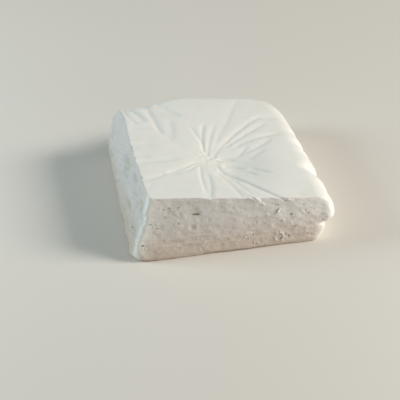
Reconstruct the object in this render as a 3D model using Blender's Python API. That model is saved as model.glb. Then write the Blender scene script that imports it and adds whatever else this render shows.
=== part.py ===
# A block of feta cheese in one solid: a front and a left side cut by knife, a right and a back side that
# kept their natural rounded skin, and a sloping top whose folds gather in one knot, as the draining cloth left it.
# Sizes are in millimetres. X runs along the front cut, Y to the back and Z up from the flat foot.
import bmesh
import bpy
import numpy as np

MM = 0.001
NAME = "feta_block"

# Level of the top: it slopes from the left cut down to the right side
LEFT_HEIGHT = 52.0
RIGHT_HEIGHT = 38.0
LEFT_RIM = 13.5
RIGHT_RIM = 147.5

# Knot of the folds, which is also the axis that the surface is worked out around
KNOT_X = 70.0
KNOT_Y = 65.0

# How far the left and the right side run back from the front
LEFT_DEPTH = 143.0
RIGHT_DEPTH = 149.0

# Front cut: a plane that leans back, further at the left than at the right
FRONT_TOP = 7.2
FRONT_FOOT = -8.2
FRONT_FOOT_RISE = 0.052

# Left cut: it leans in, and goes from hollow at the front to swollen at the back
LEFT_TOP = 14.8
LEFT_TOP_TAPER = 0.088
LEFT_TOP_CURVE = 0.00027
LEFT_FOOT = -3.0
LEFT_HOLLOW = -1.5
LEFT_SWELL = 4.6

# Natural right side: the widest line, its front end that turns in, and the dents that scallop it
RIGHT_BELLY = 168.0
RIGHT_TAPER = 0.137
RIGHT_BOW = 1.6
RIGHT_FRONT_END = 18.0
RIGHT_FRONT_PULL = 7.0
MOST_PULL = 1.5
RIGHT_DENTS = ((50.0, 6.0, 4.6), (86.0, 4.5, 2.0), (73.0, 3.5, 1.0), (104.0, 4.0, 1.2), (27.0, 3.5, 0.8))
DENT_FOOT = 0.0
DENT_TOP = 15.0

# Lip of skin that hangs over a notch at the right end of the front cut and dies out along the right side
LIP_HEIGHT = 15.5
LIP_DEPTH = 8.4
LIP_REACH = 75.0
LIP_TURN = 1.2
LIP_TURN_GROWTH = 6.0
LIP_CORNER_LOSS = 0.5
NOTCH_DEPTH = 3.4
NOTCH_HALF = 2.2
NOTCH_DROP = 0.5
LOW_INSET = 7.0

# Natural back side
BACK_BELLY = 162.6
BACK_LEFT_DROP = 19.5
BACK_LEFT_END = 66.0
BACK_RIGHT_START = 114.0
BACK_RIGHT_CURVE = 0.013
BACK_DENTS = ((42.0, 5.0, 2.2), (29.0, 8.0, 2.4))

# Rounding between the top and the natural sides, and of the upright edges and the foot
BACK_SHOULDER = 16.0
RIGHT_SHOULDER = 18.0
FRONT_SHOULDER_LOSS = 5.5
SHOULDER_DROP = 18.0
RIM_LEVEL = 0.8
EDGE_ROUND = 1.6
FOOT_ROUND = 2.6
UPRIGHT_ROUND = 2.8
CORNER_FOOT_ROUND = 20.0
CORNER_FOOT_HEIGHT = 12.0

# Shallow basin round and beside the knot: middle, half widths and depth of its two hollows
BASIN = ((84.0, 62.0, 19.0, 20.0, 2.9), (71.0, 65.0, 11.0, 10.0, 1.1))

# Folds of the top, seen from the knot: start radius, start heading, end radius, end heading, bow, depth, half width.
# Headings and bows are in degrees. A negative depth is a raised pleat.
FOLDS = (
    (10, 107, 47, 84, -9, 1.3, 1.7), (12, 97, 43, 100, -3, 1.0, 1.6), (8, 87, 31, 71, -9, 1.2, 1.7),
    (13, 63, 104, 66, 0, 0.6, 2.2), (9, 133, 90, 117, 6.5, 1.4, 2.0), (60, 103, 92, 120, 0, 1.0, 2.4),
    (39, 132, 56, 113, 0, 0.6, 3.0), (68, 131, 104, 129, 0, 1.3, 2.2), (66, 133, 100, 143, 0, 0.9, 2.0),
    (45, 158, 72, 174, 0, 1.1, 1.8), (49, 176, 68, 184, 0, 0.7, 1.6), (29, 189, 72, 189, 0, 1.0, 1.7),
    (9, 199, 76, 208, 8, 1.4, 1.8), (14, 225, 43, 213, 4, 1.2, 1.6), (9, 136, 27, 187, 16, 0.6, 1.6),
    (57, 216, 74, 222, 0, 0.7, 2.0), (11, 236, 52, 262, 7, 1.6, 1.8), (19, 263, 62, 265, 4, 1.7, 1.8),
    (12, 42, 87, 40, 9, 1.6, 2.0), (20, 43, 72, 39, -2.5, 1.3, 1.9), (30, 28, 76, 26, 2, 1.1, 1.8),
    (26, 7, 40, 22, 0, 0.9, 1.7), (34, 8, 61, 23, 0, 1.0, 1.9), (30, -10, 52, 8, 3.5, 0.8, 1.8),
    (9, -17, 36, -12, 7, 0.8, 1.6), (15, -50, 51, -22, 3, 0.8, 1.6), (18, -61, 35, -37, 0, 0.9, 1.6),
    (26, -66, 46, -34, 2, 0.8, 1.6), (16, -68, 96, -48, 7.5, 1.8, 1.8), (19, -81, 60, -66, 3.5, 1.4, 1.8),
    (30, -62, 84, -59, 1, -1.1, 2.4),
)

# A fold's raised margins, in half widths and as a share of its depth, and the shares of its radii where it fades
MARGIN_PLACE = 2.0
MARGIN_SHARE = 0.35
FADE_IN = (0.6, 1.3)
FADE_OUT = (0.85, 1.06)

# Lumps and pits of the knot: place across and along, half width, height
KNOT_LUMPS = ((-5.0, 5.5, 2.6, 1.3), (5.5, 1.5, 3.0, 1.6), (0.5, -3.0, 3.2, 1.2), (-1.0, 1.8, 1.8, -1.8),
              (9.0, -2.0, 2.6, 0.9), (-8.0, 2.5, 1.8, -1.2), (2.5, 7.0, 2.0, -1.2), (-3.5, -6.0, 2.2, 0.8))

# Mesh of the solid: segments along the front, right, back and left, and rings from the knot to the foot's middle
SIDE_SEGMENTS = (54, 46, 46, 50)
SIDE_CORNERS = ((13.9, 7.2), (155.6, 5.5), (141.0, RIGHT_DEPTH), (4.0, LEFT_DEPTH))
TOP_RINGS = 14
TOP_CROWDING = 1.12
EDGE_RINGS = 3
WALL_RINGS = 11
WALL_CROWDING = 0.6
CROWDING_HALF = 8.0
FOOT_RINGS = 2
NEAR_CUT = (-4.0, -0.5)
FARTHEST = 140.0
HALVINGS = 40
SHARP_DEGREES = 50.0


def smooth_step(value, start, end):
    part = np.clip((value - start) / (end - start), 0.0, 1.0)
    return part * part * (3.0 - 2.0 * part)


def bump(value, centre, half_width):
    return np.exp(-((value - centre) / half_width) ** 2)


def rounded_max(first, second, radius):
    # The larger of two distances, with the edge where they meet rounded to the radius
    corner = np.hypot(np.maximum(first + radius, 0.0), np.maximum(second + radius, 0.0)) - radius
    return np.where(np.minimum(first, second) > -radius, corner, np.maximum(first, second))


def crown(x):
    # Height of the sloping top before its folds and shoulders
    return LEFT_HEIGHT - (LEFT_HEIGHT - RIGHT_HEIGHT) * (x - LEFT_RIM) / (RIGHT_RIM - LEFT_RIM)


def front_cut(x, z):
    foot = FRONT_FOOT + FRONT_FOOT_RISE * (x - LEFT_RIM)
    return foot + (FRONT_TOP - foot) * z / crown(x)


def left_cut(y, z):
    top = LEFT_TOP - LEFT_TOP_TAPER * y + LEFT_TOP_CURVE * y * y
    part = z / LEFT_HEIGHT
    swell = LEFT_HOLLOW + (LEFT_SWELL - LEFT_HOLLOW) * smooth_step(y, 0.0, LEFT_DEPTH)
    return LEFT_FOOT + (top - LEFT_FOOT) * part - 4.0 * swell * part * (1.0 - part)


def front_pull(y):
    # How far the right side has turned in at its front end: 0 where the turn starts, 1 at Y 0
    return np.clip((RIGHT_FRONT_END - y) / RIGHT_FRONT_END, 0.0, MOST_PULL) ** 2


def low_inset(z):
    # The natural sides draw in towards the foot
    return LOW_INSET * np.clip(1.0 - z / LIP_HEIGHT, 0.0, 1.0) ** 2


def right_side(y, z):
    bow = RIGHT_BOW * np.sin(np.pi * np.clip(y / RIGHT_DEPTH, 0.0, 1.0))
    dents = sum(depth * bump(y, place, half) for place, half, depth in RIGHT_DENTS)
    dents = dents * smooth_step(z, DENT_FOOT, DENT_TOP)
    widest = RIGHT_BELLY - RIGHT_TAPER * y + bow - RIGHT_FRONT_PULL * front_pull(y) - dents
    to_front = 1.0 - smooth_step(y, RIGHT_FRONT_END, LIP_REACH)
    turn = LIP_TURN + LIP_TURN_GROWTH * (1.0 - to_front)
    under_lip = 1.0 - smooth_step(z, LIP_HEIGHT - turn, LIP_HEIGHT + turn)
    lobe = LIP_DEPTH * to_front * (1.0 - LIP_CORNER_LOSS * front_pull(y)) * under_lip
    notch = NOTCH_DEPTH * to_front * bump(z, LIP_HEIGHT - NOTCH_DROP, NOTCH_HALF)
    return widest - lobe - notch - low_inset(z)


def back_side(x, z):
    left_fall = BACK_LEFT_DROP * (1.0 - smooth_step(x, 0.0, BACK_LEFT_END))
    right_fall = BACK_RIGHT_CURVE * np.maximum(x - BACK_RIGHT_START, 0.0) ** 2
    dents = sum(depth * bump(x, place, half) for place, half, depth in BACK_DENTS)
    return BACK_BELLY - left_fall - right_fall - dents - low_inset(z)


def skin_level(x, y, z):
    # Below 0 on the level top, 0 where the shoulder starts and 1 on the widest line of the natural sides
    right_width = RIGHT_SHOULDER - FRONT_SHOULDER_LOSS * front_pull(y)
    right = 1.0 - (right_side(y, z) - x) / right_width
    back = 1.0 - (back_side(x, z) - y) / BACK_SHOULDER
    return np.hypot(np.maximum(right, 0.0), np.maximum(back, 0.0)) + np.minimum(np.maximum(right, back), 0.0)


def shoulder_fall(level):
    # How far the natural shoulder has dropped below the crown
    return SHOULDER_DROP * (1.0 - np.sqrt(1.0 - np.clip(level, 0.0, 1.0) ** 2))


def level_at(x, z):
    # The skin level that the natural sides reach at a height
    part = np.clip((crown(x) - z) / SHOULDER_DROP, 0.0, 1.0)
    return np.sqrt(1.0 - (1.0 - part) ** 2)


def fold_relief(x, y):
    across = x - KNOT_X
    along = y - KNOT_Y
    radius = np.hypot(across, along)
    heading = np.degrees(np.arctan2(along, across))
    relief = np.zeros_like(radius)
    for start, start_heading, end, end_heading, bow, depth, half in FOLDS:
        part = np.clip((radius - start) / (end - start), 0.0, 1.0)
        centre = start_heading + (end_heading - start_heading) * part + 4.0 * bow * part * (1.0 - part)
        turn = (heading - centre + 180.0) % 360.0 - 180.0
        side = radius * np.radians(np.clip(turn, -90.0, 90.0)) / half
        fade_in = smooth_step(radius, FADE_IN[0] * start, FADE_IN[1] * start)
        fade_out = 1.0 - smooth_step(radius, FADE_OUT[0] * end, FADE_OUT[1] * end)
        margins = MARGIN_SHARE * (bump(side, MARGIN_PLACE, 1.0) + bump(side, -MARGIN_PLACE, 1.0))
        relief = relief + depth * fade_in * fade_out * (margins - bump(side, 0.0, 1.0))
    for place_x, place_y, half, height in KNOT_LUMPS:
        relief = relief + height * bump(np.hypot(across - place_x, along - place_y), 0.0, half)
    return relief


def basin_depth(x, y):
    return sum(depth * np.exp(-0.5 * (((x - place_x) / half_x) ** 2 + ((y - place_y) / half_y) ** 2))
               for place_x, place_y, half_x, half_y, depth in BASIN)


def top_height(x, y):
    level = skin_level(x, y, crown(x))
    return crown(x) - shoulder_fall(level) - basin_depth(x, y) + fold_relief(x, y)


def cuts(x, y, z):
    # How far a point lies outside the two cut planes, with the upright edge between them rounded
    low = np.clip(1.0 - z / CORNER_FOOT_HEIGHT, 0.0, 1.0)
    radius = UPRIGHT_ROUND + (CORNER_FOOT_ROUND - UPRIGHT_ROUND) * low ** 2
    return rounded_max(front_cut(x, z) - y, left_cut(y, z) - x, radius)


def outside_wall(x, y, z):
    natural = (skin_level(x, y, z) - level_at(x, z)) * BACK_SHOULDER
    return rounded_max(cuts(x, y, z), natural, EDGE_ROUND)


def outside_rim(x, y, z):
    # The same for the rim of the top, whose height follows from its place, so that the height given isn't used
    level = skin_level(x, y, crown(x))
    natural = (level - RIM_LEVEL) * BACK_SHOULDER
    return rounded_max(cuts(x, y, crown(x) - shoulder_fall(level)), natural, EDGE_ROUND)


def reach(directions, heights, outside):
    # Distance from the knot's axis to where a measure turns from inside to outside, found by halving
    near = np.zeros(len(heights))
    far = np.full(len(heights), FARTHEST)
    for _ in range(HALVINGS):
        middle = 0.5 * (near + far)
        value = outside(KNOT_X + middle * directions[:, 0], KNOT_Y + middle * directions[:, 1], heights)
        near = np.where(value < 0.0, middle, near)
        far = np.where(value < 0.0, far, middle)
    return 0.5 * (near + far)


def segment_directions():
    # Headings from the knot, evenly spaced along each side between its two corners
    directions = []
    for side, count in enumerate(SIDE_SEGMENTS):
        start = np.array(SIDE_CORNERS[side])
        end = np.array(SIDE_CORNERS[(side + 1) % len(SIDE_CORNERS)])
        for step in range(count):
            offset = start + (end - start) * step / count - (KNOT_X, KNOT_Y)
            directions.append(offset / np.linalg.norm(offset))
    return np.array(directions)


def surface_rings():
    # Every ring from the one round the knot to the last one under the foot, each an array of points
    directions = segment_directions()
    middle = np.array((KNOT_X, KNOT_Y))
    rim = reach(directions, np.zeros(len(directions)), outside_rim)
    rim_place = middle + rim[:, None] * directions
    at_cut = smooth_step(cuts(rim_place[:, 0], rim_place[:, 1], crown(rim_place[:, 0])), *NEAR_CUT)
    inner = rim - EDGE_ROUND * at_cut
    rings = []

    for step in range(1, TOP_RINGS + 1):
        place = middle + (inner * (step / TOP_RINGS) ** TOP_CROWDING)[:, None] * directions
        rings.append(np.column_stack((place, top_height(place[:, 0], place[:, 1]))))
    rim_height = rings[-1][:, 2]

    for step in range(1, EDGE_RINGS + 1):
        angle = 0.5 * np.pi * step / EDGE_RINGS
        height = rim_height - EDGE_ROUND * (1.0 - np.cos(angle))
        distance = reach(directions, height, outside_wall) - EDGE_ROUND * at_cut * (1.0 - np.sin(angle))
        rings.append(np.column_stack((middle + distance[:, None] * directions, height)))
    wall_top = rings[-1][:, 2]

    # The rings of the wall lie closer together at the level of the lip
    for step in range(1, WALL_RINGS + 1):
        height = wall_top + (FOOT_ROUND - wall_top) * step / WALL_RINGS
        to_lip = LIP_HEIGHT - height
        height = height + WALL_CROWDING * to_lip * bump(to_lip, 0.0, CROWDING_HALF)
        distance = reach(directions, height, outside_wall)
        rings.append(np.column_stack((middle + distance[:, None] * directions, height)))

    for step in range(1, FOOT_RINGS + 1):
        angle = 0.5 * np.pi * step / FOOT_RINGS
        height = np.full(len(directions), FOOT_ROUND * (1.0 - np.sin(angle)))
        distance = reach(directions, height, outside_wall) - FOOT_ROUND * (1.0 - np.cos(angle))
        rings.append(np.column_stack((middle + distance[:, None] * directions, height)))

    inside_foot = middle + 0.5 * (rings[-1][:, :2] - middle)
    rings.append(np.column_stack((inside_foot, np.zeros(len(directions)))))
    return rings


def block_mesh():
    # A sphere with one ring of points for each ring of the surface, its points moved to their places
    rings = surface_rings()
    segments = len(rings[0])
    knot_height = float(top_height(np.array([KNOT_X]), np.array([KNOT_Y]))[0])
    outline = np.vstack(rings)
    centre = 0.5 * (outline.min(axis=0) + outline.max(axis=0))
    shift = np.array((centre[0], centre[1], 0.0))

    shape = bmesh.new()
    bmesh.ops.create_uvsphere(shape, u_segments=segments, v_segments=len(rings) + 1, radius=1.0)
    for vertex in shape.verts:
        ring = round(np.arccos(np.clip(vertex.co.z, -1.0, 1.0)) / np.pi * (len(rings) + 1))
        segment = round(np.arctan2(vertex.co.y, vertex.co.x) / (2.0 * np.pi) * segments) % segments
        if ring == 0:
            place = np.array((KNOT_X, KNOT_Y, knot_height))
        elif ring > len(rings):
            place = np.array((KNOT_X, KNOT_Y, 0.0))
        else:
            place = rings[ring - 1][segment]
        vertex.co = (place - shift) * MM
    mesh = bpy.data.meshes.new(NAME)
    shape.to_mesh(mesh)
    shape.free()
    return mesh


def cheese_material():
    # White brined cheese: matt, faintly warm, moist rather than glossy
    material = bpy.data.materials.new("feta")
    material.use_nodes = True
    shader = material.node_tree.nodes["Principled BSDF"]
    shader.inputs["Base Color"].default_value = (0.83, 0.82, 0.77, 1.0)
    shader.inputs["Roughness"].default_value = 0.55
    shader.inputs["Metallic"].default_value = 0.0
    return material


def main():
    for item in list(bpy.data.objects):
        bpy.data.objects.remove(item)
    collection = bpy.data.collections.new(NAME)
    bpy.context.scene.collection.children.link(collection)
    mesh = block_mesh()
    mesh.materials.append(cheese_material())
    mesh.shade_smooth()
    mesh.set_sharp_from_angle(angle=np.radians(SHARP_DEGREES))
    collection.objects.link(bpy.data.objects.new(NAME, mesh))


main()
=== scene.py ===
import math

import bpy
import numpy as np
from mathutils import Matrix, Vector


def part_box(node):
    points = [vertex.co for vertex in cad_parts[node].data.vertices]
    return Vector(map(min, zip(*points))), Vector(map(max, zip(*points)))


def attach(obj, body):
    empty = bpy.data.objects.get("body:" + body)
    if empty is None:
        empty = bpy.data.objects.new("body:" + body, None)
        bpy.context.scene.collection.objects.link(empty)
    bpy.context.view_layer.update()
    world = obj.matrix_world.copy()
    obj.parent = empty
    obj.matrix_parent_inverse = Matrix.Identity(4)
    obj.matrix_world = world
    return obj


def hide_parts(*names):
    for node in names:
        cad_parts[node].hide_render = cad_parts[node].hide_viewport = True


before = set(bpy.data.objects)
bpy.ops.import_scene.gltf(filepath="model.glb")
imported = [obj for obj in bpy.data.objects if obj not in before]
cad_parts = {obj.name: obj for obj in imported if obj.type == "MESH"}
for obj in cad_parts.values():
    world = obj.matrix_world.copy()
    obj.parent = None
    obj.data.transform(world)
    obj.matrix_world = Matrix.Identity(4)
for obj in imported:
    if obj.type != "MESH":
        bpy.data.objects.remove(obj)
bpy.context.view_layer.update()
print("frame loaded:", sorted(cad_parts))

# A block of feta: two sides cut by knife, two that kept their natural skin, and a top whose folds gather in
# a knot. The shape is worked out in millimetres: X runs along the front cut, Y to the back and Z up from
# the foot.
mm = 0.001
cloudCells = 128      # size of the grid of random values that the uneven patterns come from
patternStart = 40.0   # where in that grid they start, in cells
block = {
    "leftHeight": 52.0, "rightHeight": 38.0, "leftRim": 13.5, "rightRim": 147.5,   # level of the sloping top
    "knotX": 70.0, "knotY": 65.0,
    "leftDepth": 143.0, "rightDepth": 149.0,
    "frontTop": 7.2, "frontFoot": -8.2, "frontFootRise": 0.052,                    # front cut, leaning back
    "leftTop": 14.8, "leftTopTaper": 0.088, "leftTopCurve": 0.00027,               # left cut, leaning in
    "leftFoot": -3.0, "leftHollow": -1.5, "leftSwell": 4.6,
    "rightBelly": 168.0, "rightTaper": 0.137, "rightBow": 1.6,                     # natural right side
    "rightFrontEnd": 18.0, "rightFrontPull": 7.0, "mostPull": 1.5,
    "rightDents": ((50.0, 6.0, 4.6), (86.0, 4.5, 2.0), (73.0, 3.5, 1.0), (104.0, 4.0, 1.2), (27.0, 3.5, 0.8)),
    "dentFoot": 0.0, "dentTop": 15.0,
    "lipHeight": 15.5, "lipDepth": 8.4, "lipReach": 75.0, "lipTurn": 1.2, "lipTurnGrowth": 6.0,
    "lipCornerLoss": 0.5, "notchDepth": 3.4, "notchHalf": 2.2, "notchDrop": 0.5, "lowInset": 7.0,
    "backBelly": 162.6, "backLeftDrop": 19.5, "backLeftEnd": 66.0,                 # natural back
    "backRightStart": 114.0, "backRightCurve": 0.013,
    "backDents": ((42.0, 5.0, 2.2), (29.0, 8.0, 2.4)),
    "backShoulder": 16.0, "rightShoulder": 18.0, "frontShoulderLoss": 5.5, "shoulderDrop": 18.0,
    "rimLevel": 0.8, "lobeEdge": 3.0, "lobeEdgeFrom": (138.0, 150.0), "lobeEdgeTop": (26.0, 36.0),
    "edgeRound": 0.8, "footRound": 2.6, "uprightRound": 2.8,
    "cornerFootRound": 20.0, "cornerFootHeight": 12.0,
    "basin": ((84.0, 62.0, 19.0, 20.0, 2.9), (71.0, 65.0, 11.0, 10.0, 1.1), (92.0, 56.0, 13.0, 17.0, 2.8),
              (126.0, 62.0, 14.0, 30.0, -0.8), (66.0, 128.0, 18.0, 16.0, -1.3)),
}

# Folds as the draining cloth left them: from x, y to x, y, bow to the left of the way, depth, and the half
# widths of the gentle and the steep side. A negative depth is a raised pleat. A lump has its place, half
# width and height.
folds = {
    "lines": (
        # To the left cut
        (8.0, 31.5, 33.0, 41.5, -1.6, 1.2, 2.8, 1.6), (33.0, 41.5, 60.0, 57.0, -0.9, 1.1, 2.6, 1.5),
        (36.0, 40.5, 62.0, 55.5, -2.6, 0.9, 2.0, 1.6), (5.0, 57.3, 46.0, 61.0, -0.8, 0.9, 2.6, 2.0),
        (21.0, 31.0, 15.0, 17.0, 0.0, 0.35, 4.0, 1.5),
        # To the front cut
        (62.8, 57.0, 61.8, 15.0, -1.5, 0.85, 1.7, 2.2), (66.0, 43.0, 62.3, 5.0, 2.6, 1.15, 3.8, 2.0),
        (76.0, 43.5, 121.0, 6.0, 1.6, 1.7, 3.0, 1.2), (74.0, 44.0, 90.5, 8.0, 0.6, 0.7, 2.4, 1.6),
        (80.5, 38.5, 98.0, 9.0, 1.5, 0.8, 2.2, 1.5), (91.0, 20.0, 101.5, 3.0, 0.0, -0.8, 1.6, 1.5),
        # Right of the knot
        (78.0, 60.5, 93.0, 58.8, 0.0, 1.7, 1.8, 1.2), (80.0, 50.5, 97.0, 47.2, 0.0, 1.8, 1.8, 1.2),
        (82.0, 44.5, 107.0, 39.0, 0.5, 1.3, 1.8, 1.3), (102.0, 48.0, 119.0, 42.5, 0.0, 1.6, 1.8, 1.3),
        (91.0, 36.5, 101.0, 37.0, 2.0, -0.5, 1.3, 1.3), (75.5, 50.0, 81.0, 40.0, 0.0, 0.8, 1.6, 1.4),
        # The fan
        (74.5, 63.0, 95.0, 92.8, 1.2, 0.8, 3.2, 1.5), (92.0, 89.5, 122.0, 121.0, 1.0, 1.0, 2.8, 1.7),
        (118.0, 119.0, 140.0, 119.5, 2.0, 0.7, 3.0, 2.0), (86.0, 77.0, 126.0, 112.0, 0.5, 0.95, 2.4, 1.7),
        (95.0, 77.5, 137.0, 97.5, 3.5, 0.9, 2.6, 1.8), (102.0, 69.5, 128.0, 91.0, -1.0, 1.0, 3.2, 1.9),
        (95.0, 63.5, 106.0, 79.5, 0.3, 0.9, 2.5, 1.7), (102.0, 59.0, 119.0, 75.0, 0.3, 0.8, 2.5, 2.2),
        # To the back
        (62.0, 107.0, 68.5, 84.5, 0.4, 0.9, 2.2, 1.8), (74.3, 111.0, 68.3, 69.0, -1.6, 1.1, 2.2, 1.6),
        (82.5, 109.0, 70.0, 64.0, -1.1, 0.8, 2.6, 1.9), (74.0, 70.0, 109.0, 149.0, 0.0, 0.45, 3.0, 2.2),
        (62.5, 67.0, 36.5, 101.0, 2.4, 0.75, 3.0, 3.4), (37.5, 98.0, 28.0, 142.0, 0.0, 1.7, 3.0, 2.0),
        (45.0, 90.0, 46.5, 118.0, -0.3, 1.0, 7.0, 2.6),
        # The back left corner
        (12.0, 138.0, 26.0, 116.0, 1.3, 2.9, 3.0, 1.7), (36.0, 143.0, 56.0, 124.5, -0.8, 1.8, 2.4, 1.6),
        (8.5, 135.5, 13.0, 121.0, -0.6, 1.5, 2.2, 1.6), (11.5, 121.0, 18.0, 111.0, 0.0, 1.2, 2.2, 1.6),
        (2.0, 121.0, 10.0, 115.0, 0.0, 1.8, 2.4, 1.8), (12.0, 107.5, 28.0, 106.0, 0.0, 0.7, 2.0, 1.6),
        # The left rim
        (5.0, 84.5, 28.0, 82.0, -0.3, 0.95, 2.2, 1.5), (4.0, 77.5, 15.0, 77.0, 0.0, 1.1, 2.2, 1.6),
        (6.0, 67.0, 22.0, 63.5, 0.6, 0.95, 2.6, 1.9), (5.0, 91.0, 17.0, 90.0, 0.0, 0.7, 2.0, 1.5),
        (5.0, 97.5, 14.0, 96.0, 0.0, 0.6, 1.8, 1.4)),
    "lean": (0.96, -0.29),             # the steep side of a fold lies this way from its line
    "fadeLength": 5.0, "fadeShare": 0.3, "sharpness": 1.6,
    "uneven": (8.0, 0.3, 33),          # size, share and seed
    # How far the basin carries the folds with it, for each millimetre that it is deep
    "drift": (0.2, 1.33),
    "lumps": ((67.5, 70.0, 1.6, 0.8), (65.0, 62.3, 1.8, 0.6), (73.2, 57.0, 2.0, 0.6), (80.5, 55.0, 2.4, 1.0),
              (79.0, 49.5, 1.8, 0.8), (84.5, 52.5, 2.2, 0.6), (74.3, 46.0, 1.3, 0.5), (69.5, 57.0, 2.0, 0.4),
              (66.0, 66.0, 1.6, -0.9), (72.0, 63.0, 1.7, -1.0), (76.0, 64.0, 1.4, -0.6),
              (92.5, 65.0, 2.2, -0.4), (32.5, 43.0, 1.3, 0.4), (56.0, 52.5, 1.3, 0.4),
              (57.3, 17.0, 0.9, 0.35), (63.2, 8.5, 1.6, 0.5), (15.8, 9.0, 1.8, 0.5)),
    "fineCount": 26, "fineSeed": 5, "fineFrom": (9.0, 30.0), "fineLength": (12.0, 34.0),
    "fineBow": (-2.0, 2.0), "fineDepth": (0.05, 0.18), "fineHalf": (0.8, 1.4), "fineGentle": 1.4,
    "gather": (0.22, 30.0, 31),        # height, length and seed
    "gatherTurns": 26, "gatherFade": (4.0, 12.0, 80.0),
    "swell": (0.22, 17.0, 32),         # height, size and seed
}

# Relief of the cut faces, outward: size along and up, height, seed. Single marks: place, half width, height.
cutRelief = {
    "front": ((17.0, 14.0, 0.30, 11), (7.0, 3.4, 0.28, 12), (3.2, 1.7, 0.20, 16), (1.3, 1.1, 0.05, 13)),
    "left": ((16.0, 14.0, 0.55, 21), (6.5, 6.0, 0.45, 25), (3.0, 3.0, 0.3, 26), (1.5, 1.5, 0.1, 24)),
    "knife": (45.0, 1.9, 0.36, 14), "knifeFade": (12.0, 24.0),
    "craters": ((118.3, 8.2, 3.5, 0.9, 1.1), (125.3, 8.0, 2.2, 0.8, 0.4)),       # place, radius, half, height
    "craterSquash": 1.2, "craterUneven": (2.5, 0.5, 17),                         # size, share and seed
    "dents": ((48.2, 24.3, 2.6, 0.8), (117.5, 10.2, 2.0, 0.35), (50.5, 34.6, 4.0, 0.5),
              (104.3, 39.3, 1.2, 0.6)),
    "tear": (2.4, 14.0, 0.08, 15), "tearFrom": (95.0, 140.0),
    "ridges": ((24.0, 4.6, 3.2, 22), (16.0, 2.8, 2.4, 23)), "ridgesBack": (70.0, 125.0),
    "ridgesFront": (-4.0, 10.0), "ridgesLeast": 0.3,
    "ridgesAtEdge": 0.35, "ridgeLevel": 0.4,
    "ridgesWander": (9.0, 12.0, 0.5, 50, 3.0),   # size along and up, share, step of the seed, first row
    "leftChips": ((79.0, 2.2, 0.8), (64.0, 1.6, 0.7), (35.5, 2.0, 0.9), (120.0, 2.4, 0.8), (52.0, 1.6, 0.6)),
    "chipHeight": (-5.0, -0.5),
    "calmRim": 0.65, "calmFrom": (36.0, 49.0), "calmFoot": 0.7, "calmBelow": (2.0, 14.0),
    "flakes": ((100.5, 43.0, 106.8, 36.4, 0.75, 1.3), (91.5, 46.4, 98.5, 41.5, 0.6, 1.0),
               (61.8, 47.8, 63.0, 46.2, 1.1, 1.1), (120.3, 41.0, 123.2, 37.6, -0.8, 0.55),
               (123.2, 37.4, 127.5, 35.6, -0.7, 0.5), (126.5, 39.0, 130.5, 37.4, 0.6, 0.9)),
    "flakeTaper": (0.5, 0.4),                    # how much of its height and width a flake loses by its end
}

# Mesh of the block: segments along the front, right, back and left; rings from the knot to the foot's middle
mesh = {
    "segments": (272, 108, 88, 202),
    "corners": ((13.9, 7.2), (155.6, 5.5), (141.0, 149.0), (4.0, 143.0)),
    "topRings": 62, "topCrowding": 1.12, "edgeRings": 5, "wallRings": 52, "footRings": 3, "farthest": 140.0,
    "wallCrowding": 0.35, "crowdingHalf": 8.0, "nearCut": (-4.0, -0.5), "halvings": 34, "sharpAngle": 55.0,
}


def smoothStep(value, start, end):
    part = np.clip((value - start) / (end - start), 0.0, 1.0)
    return part * part * (3.0 - 2.0 * part)


def bump(value, centre, halfWidth):
    return np.exp(-((value - centre) / halfWidth) ** 2)


def clouds(u, v, seed, turns=cloudCells):
    # Smooth random hills and hollows from -1 to 1, about one for each unit of u and v; u repeats after turns
    lattice = np.random.default_rng(seed).uniform(-1.0, 1.0, (turns, cloudCells))
    column, row = np.floor(u).astype(int), np.floor(v).astype(int)
    partU, partV = smoothStep(u - column, 0.0, 1.0), smoothStep(v - row, 0.0, 1.0)

    def inRow(place):
        left = lattice[column % turns, place % cloudCells]
        right = lattice[(column + 1) % turns, place % cloudCells]
        return left * (1 - partU) + right * partU

    return inRow(row) * (1 - partV) + inRow(row + 1) * partV


def roundedMax(first, second, radius):
    # The larger of two distances, with the edge where they meet rounded to the radius
    corner = np.hypot(np.maximum(first + radius, 0.0), np.maximum(second + radius, 0.0)) - radius
    return np.where(np.minimum(first, second) > -radius, corner, np.maximum(first, second))


def crown(x):
    drop = block["leftHeight"] - block["rightHeight"]
    return block["leftHeight"] - drop * (x - block["leftRim"]) / (block["rightRim"] - block["leftRim"])


def flakeRelief(x, z):
    # Flakes of skin over the front cut, and grooves that run down it: a ridge along each short line
    lower, narrower = cutRelief["flakeTaper"]
    relief = 0.0
    for startX, startZ, endX, endZ, height, half in cutRelief["flakes"]:
        lengthX, lengthZ = endX - startX, endZ - startZ
        along = ((x - startX) * lengthX + (z - startZ) * lengthZ) / (lengthX ** 2 + lengthZ ** 2)
        along = np.clip(along, 0.0, 1.0)
        gap = np.hypot(x - startX - along * lengthX, z - startZ - along * lengthZ)
        relief = relief + height * (1.0 - lower * along) * bump(gap, 0.0, half * (1.0 - narrower * along))
    return relief


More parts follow.
